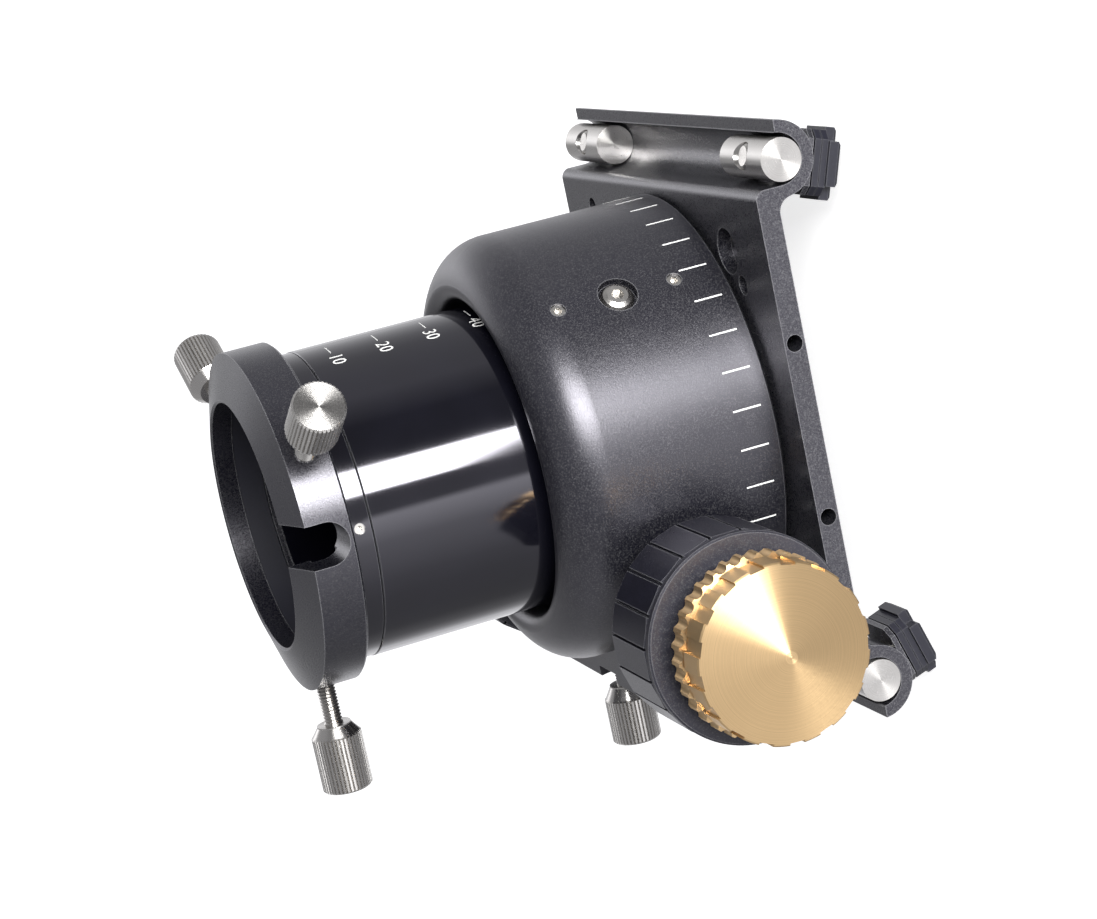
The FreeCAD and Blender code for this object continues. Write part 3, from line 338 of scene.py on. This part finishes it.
def plain_metal(name, colour, roughness):
    """Screw and bearing steel with a little grain and darker patches at random."""
    g = Graph(name)
    fine = g.noise(0.3 * MM, detail=3.0)
    broad = g.noise(4 * MM, detail=2.0)
    dark = darker(colour, 0.7)
    tone = g.mix(g.ramp(broad, 0.35, 0.75), colour, dark)
    rough = g.ramp(fine, 0.3, 0.7, roughness - 0.06, roughness + 0.08)
    normal = g.bump(fine, 0.004 * MM, 0.5)
    return g.finish(Base_Color=tone, Metallic=1.0, Roughness=rough, Normal=normal)


def engraving(name):
    """White laser marking: pale, slightly uneven, over the black."""
    g = Graph(name)
    fine = g.noise(0.25 * MM, detail=2.0)
    tone = g.mix(g.ramp(fine, 0.3, 0.7), (0.58, 0.58, 0.57, 1), (0.82, 0.82, 0.80, 1))
    normal = g.bump(fine, 0.01 * MM, 0.4)
    return g.finish(Base_Color=tone, Roughness=0.6, Normal=normal)


body_black = blasted_black("anodised_body")
plate_black = blasted_black("anodised_plate", roughness=0.30, speck=0.08)
clamp_black = blasted_black("anodised_clamp", roughness=0.28, depth=0.012 * MM, speck=0.03)
tube_black = gloss_black("anodised_tube")
inner_black = matt_black("black_inner")
knob_black = satin_black("knob_black")
disc_black = blasted_black("disc_black", level=0.006, roughness=0.5, shine=1.6)
plastic_black = moulded_black("plastic_black")
screw_steel = plain_metal("screw_steel", SCREW_STEEL, 0.28)
bearing_steel = plain_metal("bearing_steel", BEARING_STEEL, 0.2)
track_steel = plain_metal("steel_track", BEARING_STEEL, 0.22)
brass = turned_metal("brass", ALONG_Y, AXLE, BRASS, roughness=0.32, anisotropic=0.85)
drive_steel = turned_metal("drive_steel", ALONG_Y, AXLE, STEEL)
mark_white = engraving("mark_white")


def paint(node, material):
    """Gives every material slot of a CAD node the same material."""
    mesh = NODES[node].data
    count = max(1, len(mesh.materials))
    mesh.materials.clear()
    for _ in range(count):
        mesh.materials.append(material)


FINISHES = {
    "body_housing": body_black,
    "base_plate": plate_black,
    "rotation_flange": plate_black,
    "drive_block": body_black,
    "pressure_plate": plastic_black,
    "eyepiece_clamp": clamp_black,
    "compression_ring": inner_black,
    "drawtube": tube_black,
    "adapter_band": tube_black,
    "steel_track": track_steel,
    "drive_axle": drive_steel,
    "coarse_knob_near": knob_black,
    "coarse_knob_far": knob_black,
    "reducer_disc": disc_black,
    "fine_knob": brass,
    "bearing_carriage_front": plate_black,
    "bearing_carriage_back": plate_black,
    "bearing_front_rear": bearing_steel,
    "bearing_front_fore": bearing_steel,
    "bearing_back_rear": bearing_steel,
    "bearing_back_fore": bearing_steel,
}
for node in NODES:
    paint(node, FINISHES.get(node, screw_steel))
for place in CLAMPS:
    paint("clamp_knob_" + place, plastic_black)
    paint("clamp_washer_" + place, plate_black)
for place, azimuth in EYEPIECE_SCREWS:
    screw_axis = around_z(azimuth, 1.0, 0.0)
    steel = turned_metal("thumb_steel_" + place, screw_axis, (0, 0, EYEPIECE_SCREW_Z), STEEL)
    paint("eyepiece_screw_" + place, steel)
lock_steel = turned_metal("thumb_steel_lock", ALONG_X, (0, 0, LOCK_SCREW_Z), STEEL)
paint("lock_thumbscrew", lock_steel)
for place in CLAMPS:
    side = 1 if place.startswith("upper") else -1
    rod = (side * ROD_X, 0, ROD_Z)
    steel = turned_metal("rod_steel_" + place, ALONG_Y, rod, STEEL, roughness=0.3)
    paint("barrel_rod_" + place, steel)


# ---------------------------------------------------------------- making the marks
def add_object(name, data):
    item = bpy.data.objects.new(name, data)
    bpy.context.scene.collection.objects.link(item)
    return item


def mark_piece(name, mesh, body):
    """A white mark that rides on a body."""
    mesh.materials.clear()
    mesh.materials.append(mark_white)
    mesh.update()
    piece = add_object(name, mesh)
    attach(piece, body)


def plates_mesh(name, vertices, faces):
    mesh = bpy.data.meshes.new(name)
    mesh.from_pydata([tuple(v) for v in vertices], [], faces)
    mesh.update()
    return mesh


def patch(vertices, faces, radius, az_low, az_high, z_low, z_high, steps=4):
    """A curved plate on a cylinder about the optical axis, closed on all sides."""
    start = len(vertices)
    for i in range(steps + 1):
        az = az_low + (az_high - az_low) * i / steps
        for r in (radius - PROUD, radius + PROUD):
            for z in (z_low, z_high):
                vertices.append(around_z(az, r, z))
    for i in range(steps):
        a = start + 4 * i
        b = a + 4
        faces.append((a + 2, b + 2, b + 3, a + 3))
        faces.append((a, a + 1, b + 1, b))
        faces.append((a, b, b + 2, a + 2))
        faces.append((a + 1, a + 3, b + 3, b + 1))
    first, last = start, start + 4 * steps
    faces.append((first, first + 2, first + 3, first + 1))
    faces.append((last, last + 1, last + 3, last + 2))


def angle_of(width, radius):
    return math.degrees(width / radius)


def body_marks():
    """Marks around the housing for the turn of the body, one every ten degrees."""
    vertices, faces = [], []
    half = angle_of(TURN_MARK_WIDTH, HOUSING_R) / 2
    for k in range(TURN_MARKS):
        az = TURN_MARK_START - k * 360 / TURN_MARKS
        patch(vertices, faces, HOUSING_R, az - half, az + half, TURN_MARK_LOW, TURN_MARK_HIGH, steps=1)
    mark_piece("turn_marks", plates_mesh("turn_marks", vertices, faces), "focuser_body")


def tube_ticks():
    """Short lines beside the numbers on the tube."""
    vertices, faces = [], []
    az_low, az_high = TICK_AZIMUTHS
    for z in TICK_HEIGHTS:
        z_low = (z - TICK_HALF_WIDTH) * MM
        z_high = (z + TICK_HALF_WIDTH) * MM
        patch(vertices, faces, TUBE_R, az_low, az_high, z_low, z_high)
    mark_piece("scale_ticks", plates_mesh("scale_ticks", vertices, faces), "draw_assembly")


def tube_number(text, z_middle):
    """Digits that read round the tube, tops toward the base plate."""
    curve = bpy.data.curves.new("digits_" + text, "FONT")
    curve.body = text
    curve.size = DIGIT_SIZE
    curve.align_x = "CENTER"
    curve.align_y = "CENTER"
    curve.extrude = PROUD
    curve.resolution_u = 4
    curve.space_character = DIGIT_SPACING
    holder = add_object("digits_" + text, curve)
    bpy.context.view_layer.update()
    graph = bpy.context.evaluated_depsgraph_get()
    mesh = bpy.data.meshes.new_from_object(holder.evaluated_get(graph))
    bpy.data.objects.remove(holder)
    for vertex in mesh.vertices:
        x, y, lift = vertex.co
        az = DIGIT_AZIMUTH - angle_of(x, TUBE_R)
        vertex.co = around_z(az, TUBE_R + lift, z_middle - y)
    mark_piece("scale_" + text, mesh, "draw_assembly")


body_marks()
tube_ticks()
for text, z in NUMBERS:
    tube_number(text, z * MM)


# ---------------------------------------------------------------- floor, light and camera
def floor_material():
    """Plain pale studio floor; a little glow of its own keeps it even."""
    g = Graph("studio_floor")
    fine = g.noise(30 * MM, detail=3.0)
    tone = g.mix(fine, (0.86, 0.86, 0.86, 1), (0.90, 0.90, 0.90, 1))
    glow = {"Emission_Color": WHITE, "Emission_Strength": FLOOR_GLOW}
    return g.finish(Base_Color=tone, Roughness=0.9, **glow)


def studio_floor():
    """A wide floor just under the object. It casts no shadow and shows in no reflection, so the
    light that comes from below its level still reaches the object."""
    z = cad_box[0][2] - FLOOR_DROP
    corners = [(x * FLOOR_HALF, y * FLOOR_HALF, z) for x, y in ((-1, -1), (1, -1), (1, 1), (-1, 1))]
    mesh = bpy.data.meshes.new("studio_floor")
    mesh.from_pydata(corners, [], [(0, 1, 2, 3)])
    mesh.materials.append(floor_material())
    floor = add_object("studio_floor", mesh)
    floor.visible_diffuse = False
    floor.visible_glossy = False
    floor.visible_shadow = False


def direction(azimuth_deg, elevation_deg):
    a = math.radians(azimuth_deg)
    e = math.radians(elevation_deg)
    return Vector((math.cos(e) * math.cos(a), math.cos(e) * math.sin(a), math.sin(e)))


def softbox(name, azimuth, elevation, distance, length, width, radiance, lean):
    """A rectangular area light that faces the object. Its length runs along the optical axis,
    leaning over by lean degrees."""
    light = bpy.data.lights.new(name, "AREA")
    light.shape = "RECTANGLE"
    light.size = length
    light.size_y = width
    light.energy = radiance * math.pi * length * width
    lamp = add_object(name, light)
    toward = direction(azimuth, elevation)
    x_axis = (Vector((0, 0, 1)) - toward * toward.z).normalized()
    y_axis = toward.cross(x_axis)
    turn = Matrix((x_axis, y_axis, toward)).transposed().to_4x4()
    spin = Matrix.Rotation(math.radians(lean), 4, "Z")
    lamp.matrix_world = Matrix.Translation(AIM + toward * distance) @ turn @ spin


def sky_ramp(g, turn, stops):
    """Brightness by azimuth: stops pair an azimuth in degrees with a radiance."""
    node = g.add("ShaderNodeValToRGB")
    g.link(turn, node.inputs[0])
    elements = node.color_ramp.elements
    while len(elements) < len(stops):
        elements.new(0.5)
    for element, (azimuth, _) in zip(elements, stops):
        element.position = (azimuth + 180) / 360
    for element, (_, radiance) in zip(elements, stops):
        element.color = grey(radiance / SKY_TOP, 1.03)
    return node.outputs["Color"]


def studio_world():
    """Pale walls: plain white to the camera, shaded by direction as the metal sees them."""
    g = Graph("studio", world=True)
    bpy.context.scene.world = g.owner
    g.tree.nodes.clear()
    split = g.add("ShaderNodeSeparateXYZ")
    g.link(g.add("ShaderNodeTexCoord").outputs["Generated"], split.inputs[0])
    azimuth = g.math("ARCTAN2", split.outputs["Y"], split.outputs["X"])
    turn = g.ramp(azimuth, -math.pi, math.pi)
    low = sky_ramp(g, turn, LOW_WALLS)
    high = sky_ramp(g, turn, HIGH_WALLS)
    height = split.outputs["Z"]
    walls = g.mix(g.ramp(height, *LOW_TO_HIGH), low, high)
    ground = g.ramp(height, *WALL_TO_GROUND)
    ceiling = g.ramp(height, *WALL_TO_CEILING)
    sky = g.mix(g.math("MAXIMUM", ground, ceiling), walls, grey(CEILING / SKY_TOP))
    lit = g.add("ShaderNodeBackground")
    g.link(sky, lit.inputs["Color"])
    lit.inputs["Strength"].default_value = SKY_TOP
    seen = g.add("ShaderNodeBackground")
    seen.inputs["Color"].default_value = WHITE
    switch = g.add("ShaderNodeMixShader")
    g.link(g.add("ShaderNodeLightPath").outputs["Is Camera Ray"], switch.inputs[0])
    g.link(lit.outputs[0], switch.inputs[1])
    g.link(seen.outputs[0], switch.inputs[2])
    g.link(switch.outputs[0], g.add("ShaderNodeOutputWorld").inputs[0])


def studio_camera():
    """Looks at the front of the object, rolled so that the optical axis lies across the picture."""
    data = bpy.data.cameras.new("camera")
    data.lens = CAMERA_LENS
    data.sensor_width = CAMERA_SENSOR
    data.sensor_fit = "HORIZONTAL"
    data.clip_start = 0.01
    data.clip_end = 50.0
    camera = add_object("camera", data)
    back = direction(CAMERA_AZIMUTH, CAMERA_ELEVATION)
    level = Vector((0, 0, 1)).cross(back).normalized()
    roll = math.radians(CAMERA_ROLL)
    right = level * math.cos(roll) + back.cross(level) * math.sin(roll)
    turn = Matrix((right, back.cross(right), back)).transposed().to_4x4()
    camera.matrix_world = Matrix.Translation(AIM + back * CAMERA_DISTANCE) @ turn
    bpy.context.scene.camera = camera


studio_floor()
studio_world()
studio_camera()
# The strip draws the crisp streak along the tube and the sheen on the housing.
softbox("light_strip", **STRIP, radiance=STRIP_RADIANCE, lean=STRIP_LEAN)
bpy.context.scene.view_settings.view_transform = "Standard"
